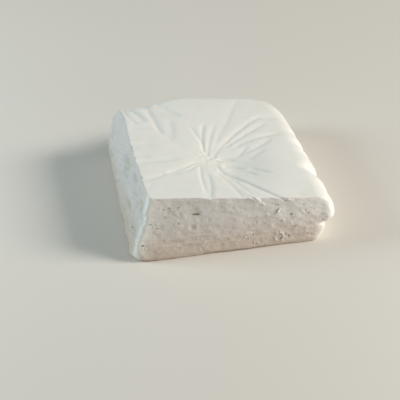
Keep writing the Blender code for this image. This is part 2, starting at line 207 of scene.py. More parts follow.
def frontRelief(x, z):
    relief = flakeRelief(x, z)
    for placeX, placeZ, half, depth in cutRelief["dents"]:
        relief = relief - depth * bump(np.hypot(x - placeX, z - placeZ), 0.0, half)
    size, share, seed = cutRelief["craterUneven"]
    for placeX, placeZ, radius, half, height in cutRelief["craters"]:
        broken = share + clouds(x / size + patternStart, z / size, seed)
        fromMiddle = np.hypot(x - placeX, cutRelief["craterSquash"] * (z - placeZ))
        relief = relief + height * broken * bump(fromMiddle, radius, half)
    for sizeX, sizeZ, height, seed in cutRelief["front"]:
        relief = relief + height * clouds(x / sizeX + patternStart, z / sizeZ, seed)
    sizeX, sizeZ, height, seed = cutRelief["knife"]
    streaks = height * clouds(x / sizeX + patternStart, z / sizeZ, seed)
    relief = relief + streaks * (1 - smoothStep(z, *cutRelief["knifeFade"]))
    across, along, height, seed = cutRelief["tear"]
    torn = height * clouds((x + z) / across + patternStart, (x - z) / along + patternStart, seed)
    return relief + torn * smoothStep(x, *cutRelief["tearFrom"])


def leftRelief(y, z):
    calm = 1.0 - cutRelief["calmRim"] * smoothStep(z, *cutRelief["calmFrom"])
    calm = calm * (1.0 - cutRelief["calmFoot"] * (1.0 - smoothStep(z, *cutRelief["calmBelow"])))
    relief = 0.0
    for sizeY, sizeZ, height, seed in cutRelief["left"]:
        relief = relief + height * calm * clouds(y / sizeY + patternStart, z / sizeZ, seed)

    rough = 1.0 - (1.0 - cutRelief["ridgesLeast"]) * smoothStep(y, *cutRelief["ridgesBack"])
    atEdge = cutRelief["ridgesAtEdge"]
    rough = rough * (atEdge + (1.0 - atEdge) * smoothStep(y, *cutRelief["ridgesFront"]))
    wanderY, wanderZ, wander, seedStep, firstRow = cutRelief["ridgesWander"]
    for sizeY, sizeZ, height, seed in cutRelief["ridges"]:
        wandering = wander * clouds(y / wanderY + patternStart, z / wanderZ, seed + seedStep)
        row = z / sizeZ + wandering + firstRow
        ridge = cutRelief["ridgeLevel"] - np.abs(clouds(y / sizeY + patternStart, row, seed))
        relief = relief + rough * calm * height * ridge

    nearRim = smoothStep(z - block["leftHeight"], *cutRelief["chipHeight"])
    for place, half, depth in cutRelief["leftChips"]:
        relief = relief - depth * bump(y, place, half) * nearRim
    return relief


def frontCut(x, z):
    foot = block["frontFoot"] + block["frontFootRise"] * (x - block["leftRim"])
    return foot + (block["frontTop"] - foot) * z / crown(x)


def leftCut(y, z):
    top = block["leftTop"] - block["leftTopTaper"] * y + block["leftTopCurve"] * y * y
    part = z / block["leftHeight"]
    hollow, swell = block["leftHollow"], block["leftSwell"]
    swell = hollow + (swell - hollow) * smoothStep(y, 0.0, block["leftDepth"])
    return block["leftFoot"] + (top - block["leftFoot"]) * part - 4.0 * swell * part * (1.0 - part)


def frontPull(y):
    # How far the right side has turned in at its front end: 0 where the turn starts, 1 at Y 0
    return np.clip((block["rightFrontEnd"] - y) / block["rightFrontEnd"], 0.0, block["mostPull"]) ** 2


def lowInset(z):
    return block["lowInset"] * np.clip(1.0 - z / block["lipHeight"], 0.0, 1.0) ** 2


def rightSide(y, z):
    bow = block["rightBow"] * np.sin(np.pi * np.clip(y / block["rightDepth"], 0.0, 1.0))
    dents = sum(depth * bump(y, place, half) for place, half, depth in block["rightDents"])
    dents = dents * smoothStep(z, block["dentFoot"], block["dentTop"])
    pull = frontPull(y)
    widest = block["rightBelly"] - block["rightTaper"] * y + bow - block["rightFrontPull"] * pull - dents
    toFront = 1.0 - smoothStep(y, block["rightFrontEnd"], block["lipReach"])
    turn = block["lipTurn"] + block["lipTurnGrowth"] * (1.0 - toFront)
    underLip = 1.0 - smoothStep(z, block["lipHeight"] - turn, block["lipHeight"] + turn)
    lobe = block["lipDepth"] * toFront * (1.0 - block["lipCornerLoss"] * pull) * underLip
    notchHeight = block["lipHeight"] - block["notchDrop"]
    notch = block["notchDepth"] * toFront * bump(z, notchHeight, block["notchHalf"])
    return widest - lobe - notch - lowInset(z)


def backSide(x, z):
    leftFall = block["backLeftDrop"] * (1.0 - smoothStep(x, 0.0, block["backLeftEnd"]))
    rightFall = block["backRightCurve"] * np.maximum(x - block["backRightStart"], 0.0) ** 2
    dents = sum(depth * bump(x, place, half) for place, half, depth in block["backDents"])
    return block["backBelly"] - leftFall - rightFall - dents - lowInset(z)


def skinLevel(x, y, z):
    # Below 0 on the level top, 0 where the shoulder starts and 1 on the widest line of the natural sides
    rightWidth = block["rightShoulder"] - block["frontShoulderLoss"] * frontPull(y)
    right = 1.0 - (rightSide(y, z) - x) / rightWidth
    back = 1.0 - (backSide(x, z) - y) / block["backShoulder"]
    outside = np.hypot(np.maximum(right, 0.0), np.maximum(back, 0.0))
    return outside + np.minimum(np.maximum(right, back), 0.0)


def shoulderFall(level):
    return block["shoulderDrop"] * (1.0 - np.sqrt(1.0 - np.clip(level, 0.0, 1.0) ** 2))


def levelAt(x, z):
    part = np.clip((crown(x) - z) / block["shoulderDrop"], 0.0, 1.0)
    return np.sqrt(1.0 - (1.0 - part) ** 2)


def fineFolds():
    # Hair-thin creases between the main folds, drawn at random round the knot
    draw = np.random.default_rng(folds["fineSeed"])
    lines = []
    for _ in range(folds["fineCount"]):
        heading = math.radians(draw.uniform(-180.0, 180.0))
        near = draw.uniform(*folds["fineFrom"])
        far = near + draw.uniform(*folds["fineLength"])
        half = draw.uniform(*folds["fineHalf"])
        ways = (block["knotX"], math.cos(heading)), (block["knotY"], math.sin(heading))
        ends = [middle + away * turned for away in (near, far) for middle, turned in ways]
        bow, depth = draw.uniform(*folds["fineBow"]), draw.uniform(*folds["fineDepth"])
        lines.append((*ends, bow, depth, folds["fineGentle"] * half, half))
    return lines


def foldRelief(x, y):
    basin = basinDepth(x, y)
    x, y = x - folds["drift"][0] * basin, y - folds["drift"][1] * basin
    size, share, seed = folds["uneven"]
    uneven = 1.0 + share * clouds(x / size + patternStart, y / size + patternStart, seed)
    relief = np.zeros_like(x)
    for startX, startY, endX, endY, bow, depth, gentle, steep in folds["lines"] + tuple(fineFolds()):
        length = math.hypot(endX - startX, endY - startY)
        wayX, wayY = (endX - startX) / length, (endY - startY) / length
        along = (x - startX) * wayX + (y - startY) * wayY
        part = np.clip(along / length, 0.0, 1.0)
        slope = 4.0 * bow * (1.0 - 2.0 * part) / length
        side = (y - startY) * wayX - (x - startX) * wayY - 4.0 * bow * part * (1.0 - part)
        side = side / np.sqrt(1.0 + slope ** 2)
        if wayX * folds["lean"][1] - wayY * folds["lean"][0] > 0.0:
            side = -side
        fade = min(folds["fadeLength"], folds["fadeShare"] * length)
        ended = smoothStep(along, length - fade, length + 0.5 * fade)
        shown = smoothStep(along, -0.5 * fade, fade) * (1.0 - ended)
        groove = np.exp(-np.abs(np.where(side > 0.0, side / gentle, side / steep)) ** folds["sharpness"])
        relief = relief - depth * uneven * shown * groove
    for placeX, placeY, half, height in folds["lumps"]:
        relief = relief + height * bump(np.hypot(x - placeX, y - placeY), 0.0, half)
    across, along = x - block["knotX"], y - block["knotY"]
    radius = np.hypot(across, along)
    start, full, end = folds["gatherFade"]
    near = smoothStep(radius, start, full) * (1.0 - smoothStep(radius, full, end))
    around = (np.degrees(np.arctan2(along, across)) + 180.0) / 360.0 * folds["gatherTurns"]
    height, size, seed = folds["gather"]
    relief = relief + height * near * clouds(around, radius / size, seed, folds["gatherTurns"])
    height, size, seed = folds["swell"]
    return relief + height * clouds(x / size + patternStart, y / size + patternStart, seed)


def basinDepth(x, y):
    return sum(depth * np.exp(-0.5 * (((x - placeX) / halfX) ** 2 + ((y - placeY) / halfY) ** 2))
               for placeX, placeY, halfX, halfY, depth in block["basin"])


def topHeight(x, y):
    level = skinLevel(x, y, crown(x))
    return crown(x) - shoulderFall(level) - basinDepth(x, y) + foldRelief(x, y)


def cuts(x, y, z):
    # How far a point lies outside the two cut faces, with the upright edge between them rounded
    low = np.clip(1.0 - z / block["cornerFootHeight"], 0.0, 1.0)
    radius = block["uprightRound"] + (block["cornerFootRound"] - block["uprightRound"]) * low ** 2
    front = frontCut(x, z) - frontRelief(x, z) - y
    left = leftCut(y, z) - leftRelief(y, z) - x
    return roundedMax(front, left, radius)


def outsideWall(x, y, z):
    natural = (skinLevel(x, y, z) - levelAt(x, z)) * block["backShoulder"]
    low = 1.0 - smoothStep(z, *block["lobeEdgeTop"])
    radius = block["edgeRound"] + block["lobeEdge"] * low * smoothStep(x, *block["lobeEdgeFrom"])
    return roundedMax(cuts(x, y, z), natural, radius)


def outsideRim(x, y, z):
    # The same for the rim of the top, whose height follows from its place
    level = skinLevel(x, y, crown(x))
    natural = (level - block["rimLevel"]) * block["backShoulder"]
    return roundedMax(cuts(x, y, crown(x) - shoulderFall(level)), natural, block["edgeRound"])


def reach(directions, heights, outside):
    # Distance from the knot's axis to where a measure turns from inside to outside, found by halving
    near, far = np.zeros_like(heights), np.full_like(heights, mesh["farthest"])
    for _ in range(mesh["halvings"]):
        middle = 0.5 * (near + far)
        x = block["knotX"] + middle * directions[:, 0]
        y = block["knotY"] + middle * directions[:, 1]
        inside = outside(x, y, heights) < 0.0
        near, far = np.where(inside, middle, near), np.where(inside, far, middle)
    return 0.5 * (near + far)


def segmentDirections():
    directions = []
    for side, count in enumerate(mesh["segments"]):
        start = np.array(mesh["corners"][side])
        end = np.array(mesh["corners"][(side + 1) % 4])
        for step in range(count):
            offset = start + (end - start) * step / count - (block["knotX"], block["knotY"])
            directions.append(offset / np.linalg.norm(offset))
    return np.array(directions)


def surfaceRings():
    # Rings from the one round the knot, over the rim and down the sides, to the one inside the foot
    directions = segmentDirections()
    middle = np.array((block["knotX"], block["knotY"]))
    edge, foot = block["edgeRound"], block["footRound"]
    rim = reach(directions, np.zeros(len(directions)), outsideRim)
    rimPlace = middle + rim[:, None] * directions
    atCut = smoothStep(cuts(rimPlace[:, 0], rimPlace[:, 1], crown(rimPlace[:, 0])), *mesh["nearCut"])
    rings = []

    def addRing(distance, height):
        rings.append(np.column_stack((middle + distance[:, None] * directions, height)))

    for step in range(1, mesh["topRings"] + 1):
        distance = (rim - edge * atCut) * (step / mesh["topRings"]) ** mesh["topCrowding"]
        place = middle + distance[:, None] * directions
        addRing(distance, topHeight(place[:, 0], place[:, 1]))
    rimHeight = rings[-1][:, 2]

    for step in range(1, mesh["edgeRings"] + 1):
        angle = 0.5 * np.pi * step / mesh["edgeRings"]
        height = rimHeight - edge * (1.0 - np.cos(angle))
        addRing(reach(directions, height, outsideWall) - edge * atCut * (1.0 - np.sin(angle)), height)
    wallTop = rings[-1][:, 2]

    for step in range(1, mesh["wallRings"] + 1):
        height = wallTop + (foot - wallTop) * step / mesh["wallRings"]
        toLip = block["lipHeight"] - height
        height = height + mesh["wallCrowding"] * toLip * bump(toLip, 0.0, mesh["crowdingHalf"])
        addRing(reach(directions, height, outsideWall), height)

    for step in range(1, mesh["footRings"] + 1):
        angle = 0.5 * np.pi * step / mesh["footRings"]
        height = np.full(len(directions), foot * (1.0 - np.sin(angle)))
        addRing(reach(directions, height, outsideWall) - foot * (1.0 - np.cos(angle)), height)

    inside = 0.5 * np.linalg.norm(rings[-1][:, :2] - middle, axis=1)
    addRing(inside, np.zeros(len(directions)))
    return rings


# Where the surface is dry skin, from 0 on the open cuts to 1 on the natural sides, with painted light on
# parts of the cuts, and where the grooves of the cuts show open curd and painted shade. Each pair is the
# start and end of a gradual change, in millimetres.
drynessAndPaintedLight = {
    "skin": (-0.8, 0.4), "paintedLipLight": 0.85, "paintedLipLightWithin": (-12.0, -1.0),
    "end": 0.35, "endFrom": (95.0, 140.0), "endUp": (10.0, 30.0),     # painted light on the upper right end of the front cut
    "flakeGain": 1.6, "flakeFront": (-9.0, -7.0), "flakesAbove": 30.0,
    "edgeHalf": 7.5, "edgeDepth": (-2.0, 0.0), "edgeTo": 40.0,        # the upright edge between the cuts: drier skin and painted highlight
    "onCut": (-1.5, -0.5), "leftGrooves": (0.0, 1.5), "frontGrooves": (0.1, 0.8),
}


def skinAndPaintedLightShare(x, y, z):
    # 1 on the natural skin and 0 on the two cuts, but for painted light on the lip, on the right end of the
    # front cut and on the upright edge
    outside = cuts(x, y, z)
    past = (skinLevel(x, y, z) - levelAt(x, z)) * block["backShoulder"] - outside
    # Painted light: the cut next to the lip's low edge, at the right end, is made as light as skin
    paintedLipLight = drynessAndPaintedLight["paintedLipLight"] * smoothStep(past, *drynessAndPaintedLight["paintedLipLightWithin"])
    paintedLipLight = paintedLipLight * smoothStep(x, *block["lobeEdgeFrom"])
    # Painted light: the front cut grows lighter towards its upper right end
    end = drynessAndPaintedLight["end"] * smoothStep(x, *drynessAndPaintedLight["endFrom"]) * smoothStep(z, *drynessAndPaintedLight["endUp"])
    flake = np.clip(drynessAndPaintedLight["flakeGain"] * flakeRelief(x, z), 0.0, 1.0)
    flake = flake * smoothStep(-y, *drynessAndPaintedLight["flakeFront"]) * (z > drynessAndPaintedLight["flakesAbove"])
    # The upright edge between the cuts: a light band, partly drier skin and partly painted highlight
    edge = bump(frontCut(x, z) - leftCut(y, z) + x - y, 0.0, drynessAndPaintedLight["edgeHalf"])
    edge = edge * smoothStep(outside, *drynessAndPaintedLight["edgeDepth"]) * (x < drynessAndPaintedLight["edgeTo"])
    return np.maximum.reduce([smoothStep(past, *drynessAndPaintedLight["skin"]), paintedLipLight, end, flake, edge])


def grooveCurdAndShadeShare(x, y, z):
    # 1 in the grooves of the cuts, which the colour darkens: partly the open curd, partly painted shade
    left, front = leftRelief(y, z), frontRelief(x, z)
    onLeft = smoothStep(leftCut(y, z) - left - x, *drynessAndPaintedLight["onCut"])
    onFront = smoothStep(frontCut(x, z) - front - y, *drynessAndPaintedLight["onCut"])
    return np.maximum(onLeft * smoothStep(-left, *drynessAndPaintedLight["leftGrooves"]),
                      onFront * smoothStep(-front, *drynessAndPaintedLight["frontGrooves"]))


def newPiece(name, points, faces, marks):
    # A piece of the points and faces, in metres, with its marks: a number or a vector for each point
    data = bpy.data.meshes.new(name)
    data.from_pydata(points.tolist(), [], faces)
    for label, values in marks.items():
        kind, field = ("FLOAT", "value") if values.ndim == 1 else ("FLOAT_VECTOR", "vector")
        data.attributes.new(label, kind, "POINT").data.foreach_set(field, values.ravel())
    piece = bpy.data.objects.new(name, data)
    bpy.context.scene.collection.objects.link(piece)
    return piece


def blockBody():
    rings = surfaceRings()
    count = len(rings[0])
    knot = np.array([[block["knotX"], block["knotY"], 0.0]])
    knotTop = knot.copy()
    knotTop[0, 2] = topHeight(knot[:, 0], knot[:, 1])[0]
    points = np.vstack([knotTop] + rings + [knot])
    last = len(points) - 1
    faces = []
    for segment in range(count):
        after = (segment + 1) % count
        faces.append((0, 1 + segment, 1 + after))
        for ring in range(len(rings) - 1):
            start = 1 + ring * count
            faces.append((start + segment, start + count + segment, start + count + after, start + after))
        start = 1 + (len(rings) - 1) * count
        faces.append((start + segment, last, start + after))

    skin = skinAndPaintedLightShare(*points.T)
    skin[:1 + count * (mesh["topRings"] + 1)] = 1.0
    # Darker in the grooves of the cuts: partly open curd, partly painted shade
    hollow = (1.0 - skin) * grooveCurdAndShadeShare(*points.T)
    centre = 0.5 * (points.min(axis=0) + points.max(axis=0))
    low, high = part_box("feta_block")
    foot = np.array(((low.x + high.x) / 2, (low.y + high.y) / 2, low.z))
    shift = foot - np.array((centre[0], centre[1], 0.0)) * mm
    return newPiece("fetaBody", points * mm + shift, faces, {"skin": skin, "hollow": hollow}), shift


def toLinear(text):
    values = [int(text[place:place + 2], 16) / 255.0 for place in (1, 3, 5)]
    return tuple(v / 12.92 if v <= 0.04045 else ((v + 0.055) / 1.055) ** 2.4 for v in values) + (1.0,)


def addNode(tree, kind, settings=None, inputs=None):
    # Adds a node, sets its properties, and sets or links its inputs. A list links several to one input.
    node = tree.nodes.new(kind)
    for name, value in (settings or {}).items():
        setattr(node, name, value)
    for name, value in (inputs or {}).items():
        for part in value if isinstance(value, list) else [value]:
            if isinstance(part, bpy.types.NodeSocket):
                tree.links.new(part, node.inputs[name])
            else:
                node.inputs[name].default_value = part
    return node


# Brined feta: pressed white curd. The skin was smoothed by the draining cloth, and the cuts by a knife.
# To the eye it is matt and milky: light enters it a few millimetres and comes out softened.
feta = {
    # The paste is darker than the skin: partly its own wetter tone, partly painted shade of the cut faces
    "paste": "#D9D4CF",
    # Colours laid over the paste in turn: the value that each follows, its range, and the share at its ends
    "layers": (("#CBB8A4", "level", 0.0, 30.0 * mm, 0.85, 0.0),   # low on the cuts: partly brine, partly painted shade
               # The skin colour, also laid on as painted light on parts of the cuts and on the crumbs
               ("#F0EEE6", "skin", 0.0, 1.0, 0.0, 1.0),
               ("#DEDACB", "mottle", 0.45, 0.8, 0.0, 0.15),
               # Darker in the grooves of the cuts, partly open curd and partly painted shade, and in the
               # holes, painted shade
               ("#BDB6A2", "hollow", 0.0, 1.0, 0.0, 0.6)),
    "patterns": (("mottle", 9.0, 3.0), ("curd", 1.6, 2.0), ("grain", 0.55, 2.0)),   # millimetres, and detail
    "roughness": 0.52, "roughnessSpread": 0.08, "roughnessFrom": (0.3, 0.7),
    "bumps": (("grain", 0.12), ("curd", 0.2)), "skinBump": 0.25,                     # millimetres deep
    "refraction": 1.4, "subsurface": 0.2, "scatter": 1.1, "scatterColours": (1.0, 0.85, 0.7),
}


def fetaMaterial():
    material = bpy.data.materials.new("brinedFeta")
    material.use_nodes = True
    tree = material.node_tree
    shader = tree.nodes["Principled BSDF"]
    place = addNode(tree, "ShaderNodeTexCoord").outputs["Object"]
    values = {"level": addNode(tree, "ShaderNodeSeparateXYZ", None, {0: place}).outputs["Z"]}
    for name in ("skin", "hollow"):
        values[name] = addNode(tree, "ShaderNodeAttribute", {"attribute_name": name}).outputs["Fac"]
    for name, size, detail in feta["patterns"]:
        values[name] = addNode(tree, "ShaderNodeTexNoise", None,
                               {"Vector": place, "Scale": 1.0 / (size * mm), "Detail": detail}).outputs["Fac"]

    ground = toLinear(feta["paste"])
    for colour, value, start, end, first, final in feta["layers"]:
        share = addNode(tree, "ShaderNodeMapRange", None,
                        {"Value": values[value], "From Min": start, "From Max": end,
                         "To Min": first, "To Max": final})
        ground = addNode(tree, "ShaderNodeMix", {"data_type": "RGBA"},
                         {0: share.outputs[0], 6: ground, 7: toLinear(colour)}).outputs[2]
    tree.links.new(ground, shader.inputs["Base Color"])

    low, high = feta["roughnessFrom"]
    rough = addNode(tree, "ShaderNodeMapRange", None,
                    {"Value": values["curd"], "From Min": low, "From Max": high,
                     "To Min": feta["roughness"] - feta["roughnessSpread"],
                     "To Max": feta["roughness"] + feta["roughnessSpread"]})
    tree.links.new(rough.outputs[0], shader.inputs["Roughness"])
    strength = addNode(tree, "ShaderNodeMapRange", None,
                       {"Value": values["skin"], "To Min": 1.0, "To Max": feta["skinBump"]}).outputs[0]
    bumped = {}
    for name, depth in feta["bumps"]:
        layer = addNode(tree, "ShaderNodeBump", None,
                        {"Strength": strength, "Distance": depth * mm, "Height": values[name], **bumped})
        bumped = {"Normal": layer.outputs[0]}
    tree.links.new(bumped["Normal"], shader.inputs["Normal"])
    shader.inputs["IOR"].default_value = feta["refraction"]
    shader.inputs["Subsurface Weight"].default_value = feta["subsurface"]
    shader.inputs["Subsurface Radius"].default_value = feta["scatterColours"]
    shader.inputs["Subsurface Scale"].default_value = feta["scatter"] * mm
    return material


# What both the holes and the crumbs keep to: the open cuts, where skin is low, and clear of the foot
scatterWithin = {"skinBelow": 0.4, "offFoot": 2.5}

# Small holes that the pressed curd leaves: those that show on the front and left cut, and scattered fine
# ones. Place along and up, size along, up and in.
curdHoles = {
    "front": ((50.8, 34.6, 4.0, 1.3, 3.0), (25.4, 41.5, 1.2, 0.8, 0.9),
              (30.2, 42.2, 1.3, 0.7, 0.9), (37.4, 41.8, 1.2, 0.9, 0.9), (128.6, 25.9, 1.4, 1.0, 1.4),
              (140.2, 28.0, 0.9, 0.5, 0.5), (142.6, 25.1, 0.9, 0.6, 0.5), (123.4, 9.8, 0.9, 0.9, 0.6),
              (126.4, 7.8, 1.1, 1.0, 0.8), (119.6, 6.6, 1.3, 0.8, 0.6), (92.9, 9.1, 1.1, 0.7, 0.8),
              (76.6, 11.2, 1.0, 0.7, 0.8), (37.4, 8.7, 1.5, 0.7, 0.9), (14.3, 30.6, 1.6, 0.6, 0.8),
              (19.7, 26.7, 1.8, 0.7, 0.9), (36.8, 28.7, 1.3, 0.8, 0.9), (7.0, 14.3, 1.5, 0.9, 1.0),
              (141.6, 7.9, 1.2, 0.8, 0.9), (131.8, 15.2, 1.2, 0.8, 0.7)),
    "left": ((71.6, 36.4, 0.9, 1.2, 0.9), (19.7, 15.4, 1.0, 1.4, 1.1), (117.9, 17.4, 1.0, 1.3, 0.9),
             (105.2, 21.2, 0.9, 1.5, 0.9)),
    "shownDepth": 0.5, "perSquareMm": 0.030, "smallest": 0.25, "largest": 0.9, "apart": 1.8, "seed": 3,
    "lift": 0.6, "stretch": ((0.8, 0.8, 0.6), (1.7, 1.2, 1.1)), "mostTurn": 0.25, "lumps": (1.3, 0.4),
    "skew": 2.0, "seeds": {"radius": 7, "stretch": 8, "turn": 9},
}


def holePlaces(shift):
    # One point for each hole that shows, on its cut face, with the hole's size
    places, sizes = [], []
    for x, z, sizeX, sizeZ, sizeIn in curdHoles["front"]:
        places.append((x, frontCut(x, z) - frontRelief(np.array([x]), np.array([z]))[0], z))
        sizes.append((sizeX, sizeIn * curdHoles["shownDepth"], sizeZ))
    for y, z, sizeY, sizeZ, sizeIn in curdHoles["left"]:
        places.append((leftCut(y, z) - leftRelief(np.array([y]), np.array([z]))[0], y, z))
        sizes.append((sizeIn * curdHoles["shownDepth"], sizeY, sizeZ))
    return newPiece("holePlaces", np.array(places) * mm + shift, [], {"size": np.array(sizes) * mm})


def startTree(name, inputs):
    # A geometry tree with its named inputs and one output
    tree = bpy.data.node_groups.new(name, "GeometryNodeTree")
    for label, kind in inputs:
        tree.interface.new_socket(label, in_out="INPUT", socket_type="NodeSocket" + kind)
    tree.interface.new_socket("Geometry", in_out="OUTPUT", socket_type="NodeSocketGeometry")
    return tree, addNode(tree, "NodeGroupInput").outputs


def onPaste(tree):
    # 1 where holes and crumbs may be and 0 elsewhere
    skin = addNode(tree, "GeometryNodeInputNamedAttribute", {"data_type": "FLOAT"}, {"Name": "skin"})
    place = addNode(tree, "GeometryNodeInputPosition")
    height = addNode(tree, "ShaderNodeSeparateXYZ", None, {0: place.outputs[0]})
    offFoot = addNode(tree, "FunctionNodeCompare", {"data_type": "FLOAT"},
                      {"A": height.outputs["Z"], "B": scatterWithin["offFoot"] * mm})
    paste = addNode(tree, "ShaderNodeMath", {"operation": "LESS_THAN"},
                    {0: skin.outputs["Attribute"], 1: scatterWithin["skinBelow"]})
    return addNode(tree, "ShaderNodeMath", {"operation": "MULTIPLY"},
                   {0: paste.outputs[0], 1: offFoot.outputs[0]}).outputs[0]


def lumpyBalls(tree, points, pattern, mark, size):
    # One lumpy ball, marked, at each point, turned at random and scaled to the size
    lumpScale, lumpHeight = pattern["lumps"]
    ball = addNode(tree, "GeometryNodeMeshIcoSphere", None, {"Radius": 1.0, "Subdivisions": 2})
    lumps = addNode(tree, "ShaderNodeTexNoise", None, {"Scale": lumpScale, "Detail": 1.0})
    swell = addNode(tree, "ShaderNodeMapRange", None,
                    {"Value": lumps.outputs["Fac"], "To Min": -lumpHeight, "To Max": lumpHeight})
    outward = addNode(tree, "GeometryNodeInputNormal")
    push = addNode(tree, "ShaderNodeVectorMath", {"operation": "SCALE"},
                   {0: outward.outputs[0], "Scale": swell.outputs[0]})
    lumpy = addNode(tree, "GeometryNodeSetPosition", None,
                    {"Geometry": ball.outputs[0], "Offset": push.outputs[0]})
    marked = addNode(tree, "GeometryNodeStoreNamedAttribute", {"data_type": "FLOAT"},
                     {"Geometry": lumpy.outputs[0], "Name": mark, "Value": 1.0})
    most = pattern["mostTurn"]
    turn = addNode(tree, "FunctionNodeRandomValue", {"data_type": "FLOAT_VECTOR"},
                   {"Min": (-most,) * 3, "Max": (most,) * 3, "Seed": pattern["seeds"]["turn"]})
    return addNode(tree, "GeometryNodeInstanceOnPoints", None,
                   {"Points": points, "Instance": marked.outputs[0], "Rotation": turn.outputs["Value"],
                    "Scale": size}).outputs[0]


def finishTree(tree, geometry, material):
    # Makes the geometry real, paints it and hands it out
    real = addNode(tree, "GeometryNodeRealizeInstances", None, {"Geometry": geometry})
    painted = addNode(tree, "GeometryNodeSetMaterial", None,
                      {"Geometry": real.outputs[0], "Material": material})
    addNode(tree, "NodeGroupOutput", None, {"Geometry": painted.outputs[0]})
    return tree


def holeTree():
    # Cuts lumpy hollows into the cut faces, at the places that show and at scattered ones
    tree, given = startTree("curdHoles", (
        ("Geometry", "Geometry"), ("Shown Places", "Object"), ("Density", "Float"), ("Smallest", "Float"),
        ("Largest", "Float"), ("Apart", "Float"), ("Seed", "Int"), ("Material", "Material")))
    seeds = curdHoles["seeds"]
    scattered = addNode(tree, "GeometryNodeDistributePointsOnFaces", {"distribute_method": "POISSON"},
                        {"Mesh": given["Geometry"], "Distance Min": given["Apart"],
                         "Density Max": given["Density"], "Density Factor": onPaste(tree),
                         "Seed": given["Seed"]})
    draw = addNode(tree, "FunctionNodeRandomValue", {"data_type": "FLOAT"},
                   {"Min": 0.0, "Max": 1.0, "Seed": seeds["radius"]})
    skewed = addNode(tree, "ShaderNodeMath", {"operation": "POWER"},
                     {0: draw.outputs["Value"], 1: curdHoles["skew"]})
    radius = addNode(tree, "ShaderNodeMapRange", None,
                     {"Value": skewed.outputs[0], "To Min": given["Smallest"], "To Max": given["Largest"]})
    least, most = curdHoles["stretch"]
    stretch = addNode(tree, "FunctionNodeRandomValue", {"data_type": "FLOAT_VECTOR"},
                      {"Min": least, "Max": most, "Seed": seeds["stretch"]})
    size = addNode(tree, "ShaderNodeVectorMath", {"operation": "SCALE"},
                   {0: stretch.outputs["Value"], "Scale": radius.outputs[0]})
    shallow = addNode(tree, "ShaderNodeMath", {"operation": "MULTIPLY"},
                      {0: radius.outputs[0], 1: curdHoles["lift"]})
    outOfFace = addNode(tree, "ShaderNodeVectorMath", {"operation": "SCALE"},
                        {0: scattered.outputs["Normal"], "Scale": shallow.outputs[0]})
    lifted = addNode(tree, "GeometryNodeSetPosition", None,
                     {"Geometry": scattered.outputs["Points"], "Offset": outOfFace.outputs[0]})
    kept = addNode(tree, "GeometryNodeStoreNamedAttribute", {"data_type": "FLOAT_VECTOR"},
                   {"Geometry": lifted.outputs[0], "Name": "size", "Value": size.outputs[0]})
    shown = addNode(tree, "GeometryNodeObjectInfo", None, {"Object": given["Shown Places"]})
    shownPoints = addNode(tree, "GeometryNodeMeshToPoints", None, {"Mesh": shown.outputs["Geometry"]})
    both = addNode(tree, "GeometryNodeJoinGeometry", None, {0: [kept.outputs[0], shownPoints.outputs[0]]})
    ownSize = addNode(tree, "GeometryNodeInputNamedAttribute", {"data_type": "FLOAT_VECTOR"},
                      {"Name": "size"})
    # The hole walls are marked for the darker groove colour: painted shade in the holes
    cutters = lumpyBalls(tree, both.outputs[0], curdHoles, "hollow", ownSize.outputs["Attribute"])
    carved = addNode(tree, "GeometryNodeMeshBoolean", {"operation": "DIFFERENCE", "solver": "MANIFOLD"},
                     {"Mesh 1": given["Geometry"], "Mesh 2": cutters})
    return finishTree(tree, carved.outputs["Mesh"], given["Material"])


def growNodes(piece, tree, pattern, extra):
    # Runs a tree on a piece and keeps the result as the piece's own plain mesh
    values = {"Density": pattern["perSquareMm"] / mm ** 2, "Smallest": pattern["smallest"] * mm,
              "Largest": pattern["largest"] * mm, "Seed": pattern["seed"], **extra}
    modifier = piece.modifiers.new(tree.name, "NODES")
    modifier.node_group = tree
    for socket in tree.interface.items_tree:
        if socket.name in values and socket.in_out == "INPUT":
            modifier[socket.identifier] = values[socket.name]
    evaluated = piece.evaluated_get(bpy.context.evaluated_depsgraph_get())
    plain = bpy.data.meshes.new_from_object(evaluated)
    piece.modifiers.remove(modifier)
    piece.data = plain
    return piece


# Crumbs of curd that cling to the cut faces: those that show as bright specks, and scattered fine ones.
# Place along and up on the front cut, and radius.
crumbs = {
    "shown": ((118.0, 29.8, 1.5), (118.9, 31.2, 1.1), (114.6, 8.0, 0.7), (115.3, 5.9, 0.8), (117.2, 4.8, 0.7),
              (121.7, 7.4, 0.7), (121.2, 10.4, 0.7), (119.3, 11.6, 0.6), (116.2, 11.0, 0.6),
              (124.6, 6.4, 0.8), (38.0, 27.0, 0.6), (36.4, 36.0, 0.5), (20.3, 30.5, 0.6), (17.6, 28.2, 0.6),
              (90.6, 11.0, 0.7), (93.6, 9.0, 0.6), (98.2, 11.5, 0.6), (53.2, 6.0, 0.7), (54.2, 4.4, 0.5),
              (139.0, 26.0, 0.7), (137.2, 28.6, 0.5), (7.2, 12.6, 0.6), (10.0, 11.6, 0.6), (110.0, 27.0, 0.6),
              (101.2, 27.6, 0.7), (122.0, 21.6, 0.7), (101.5, 22.4, 0.6), (90.9, 23.7, 0.6), (97.8, 5.9, 0.7),
              (101.0, 4.9, 0.7), (115.1, 8.6, 0.6), (120.6, 5.6, 0.6), (141.8, 27.2, 0.6), (95.5, 43.4, 0.8),
              (36.0, 31.5, 0.5), (32.6, 40.6, 0.5)),
    "sunk": 0.2, "perSquareMm": 0.006, "smallest": 0.25, "largest": 0.55, "seed": 12,
    "stretch": ((0.7, 0.6, 0.6), (1.3, 1.0, 1.0)), "mostTurn": 3.1, "lumps": (1.6, 0.5),
    "seeds": {"radius": 3, "stretch": 4, "turn": 5},
}


